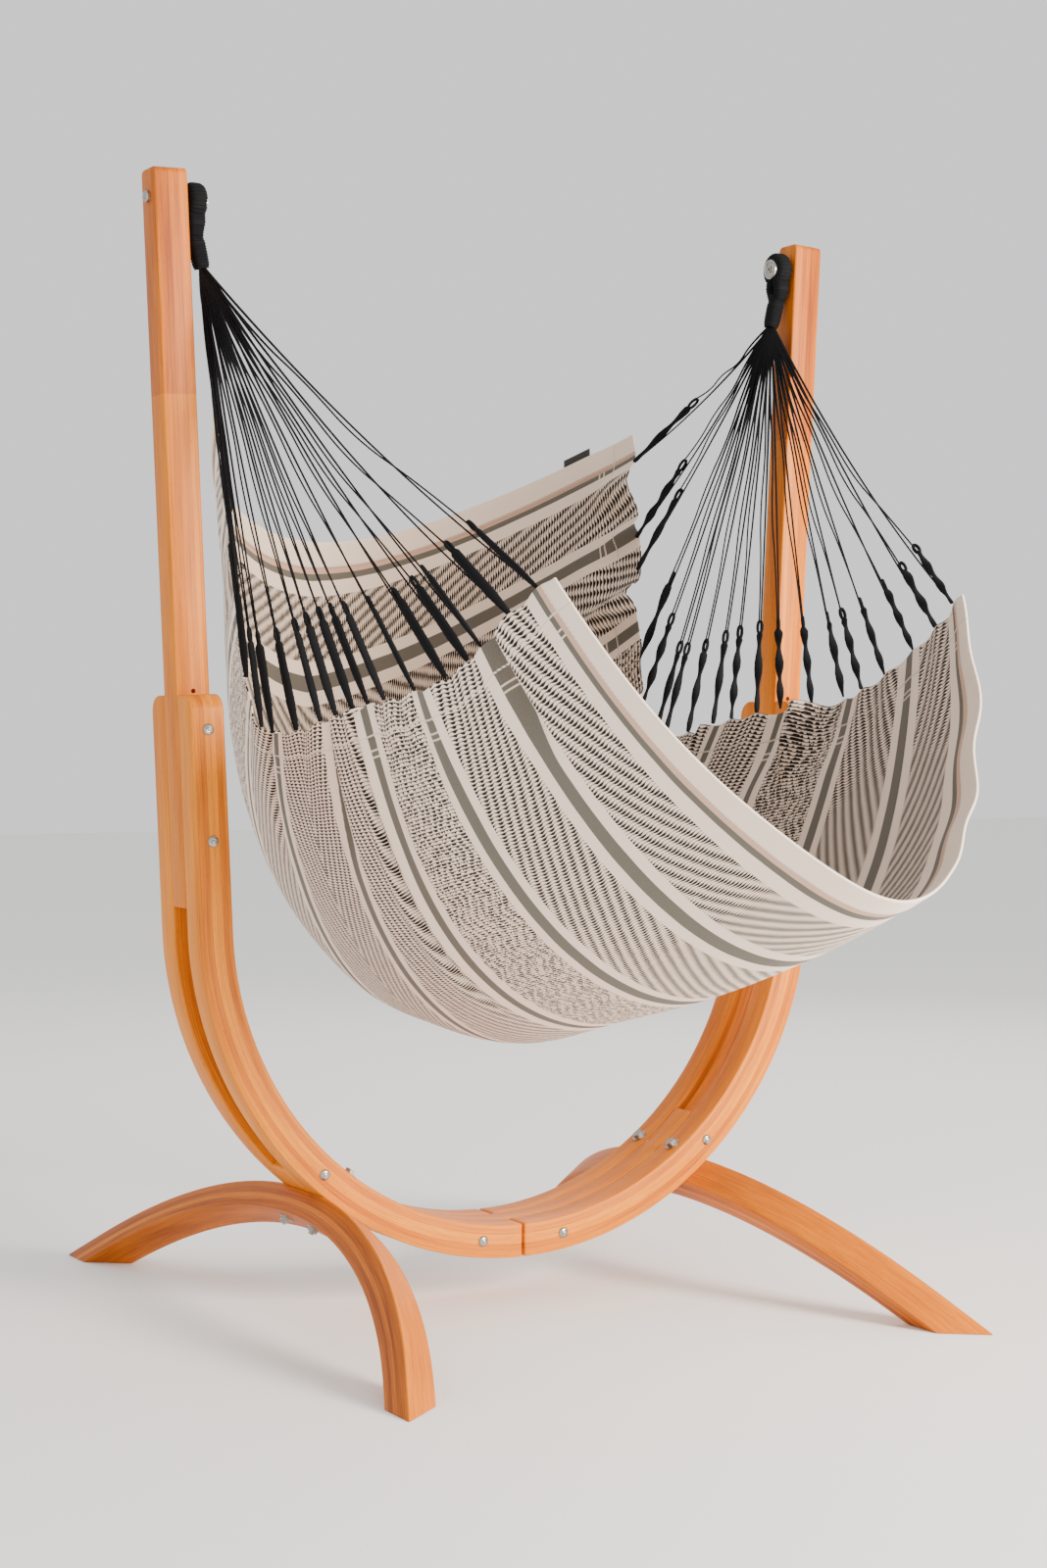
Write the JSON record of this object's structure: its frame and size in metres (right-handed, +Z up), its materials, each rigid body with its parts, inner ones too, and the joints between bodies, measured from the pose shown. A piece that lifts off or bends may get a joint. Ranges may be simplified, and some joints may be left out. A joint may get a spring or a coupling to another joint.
{
  "type": "hammock on stand",
  "caption": "Woven hammock chair hung by fanned cords between the two posts of a U-shaped bent timber stand on arched feet.",
  "frame": {"origin": "on the floor, midway between the two feet and midway between the front and rear cheeks of the U", "axes": "+Z up, the U of the stand lies in the XZ plane, the chair's front hem faces -Y, +X is the sitter's left"},
  "size_m": [1.3888, 1.9417, 1.95],
  "materials": {
    "oiled_wood": "oiled laminated eucalyptus, satin",
    "zinc_steel": "bright zinc plated",
    "black_cord": "braided and wound polyester",
    "striped_cloth": "woven cotton with grey stripes and dark dashes",
    "hem_cloth": "folded woven cotton",
    "tag_cloth": "plain woven ribbon"
  },
  "bodies": {
    "stand": {"post_left": "oiled_wood", "post_right": "oiled_wood", "cheek_front_left": "oiled_wood", "cheek_rear_left": "oiled_wood", "cheek_front_right": "oiled_wood", "cheek_rear_right": "oiled_wood", "centre_splice": "oiled_wood", "leg_left": "oiled_wood", "leg_right": "oiled_wood", "post_bolts": "zinc_steel", "post_nuts": "zinc_steel", "splice_bolts": "zinc_steel", "splice_nuts": "zinc_steel", "leg_bolts": "zinc_steel", "leg_washers": "zinc_steel", "leg_nuts": "zinc_steel", "hanging_pin_left": "zinc_steel", "hanging_pin_right": "zinc_steel", "retaining_cap_left": "zinc_steel", "retaining_cap_right": "zinc_steel", "inner_washer_left": "zinc_steel", "inner_washer_right": "zinc_steel", "outer_nut_left": "zinc_steel", "outer_nut_right": "zinc_steel"},
    "chair": {"rope_loop_left": "black_cord", "rope_loop_right": "black_cord", "neck_winding_left": "black_cord", "neck_winding_right": "black_cord", "cords_left": "black_cord", "cords_right": "black_cord", "cord_ends_left": "black_cord", "cord_ends_right": "black_cord", "cloth_panel": "striped_cloth", "front_hem": "hem_cloth", "back_hem": "hem_cloth", "side_hem_left": "hem_cloth", "side_hem_right": "hem_cloth", "woven_tag": "tag_cloth"}
  },
  "joints": [
    {"name": "chair_swing", "type": "hinge", "parent": "stand", "child": "chair", "pos_m": [0, 0, 1.9], "axis": [1, 0, 0], "range_deg": [-25, 25]}
  ]
}
